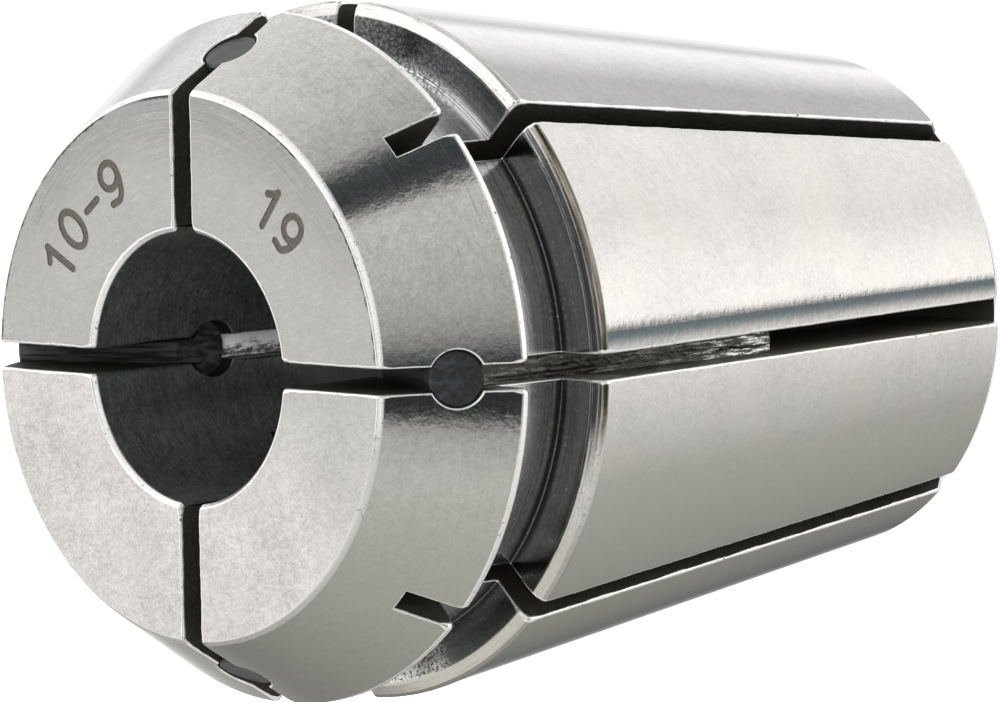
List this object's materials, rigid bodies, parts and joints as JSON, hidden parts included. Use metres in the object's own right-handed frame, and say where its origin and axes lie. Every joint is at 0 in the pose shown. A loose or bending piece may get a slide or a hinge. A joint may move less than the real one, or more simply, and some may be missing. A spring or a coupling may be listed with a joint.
{
  "type": "er collet",
  "caption": "Slotted steel spring collet with a round bore, a long taper, a nut groove and a short steep head cone ending in a flat front face, with a dark plug in each of its four relief holes.",
  "frame": {"origin": "centre of the rear end face, on the bore axis", "axes": "+Z along the bore axis from the rear end to the front face, +X and +Y through two of the front slots"},
  "size_m": [0.026, 0.026, 0.034],
  "materials": {
    "steel": "ground satin",
    "plug": "dark satin"
  },
  "bodies": {
    "root": {"collet_body": "steel", "seal_plug_1": "plug", "seal_plug_2": "plug", "seal_plug_3": "plug", "seal_plug_4": "plug"}
  },
  "joints": []
}
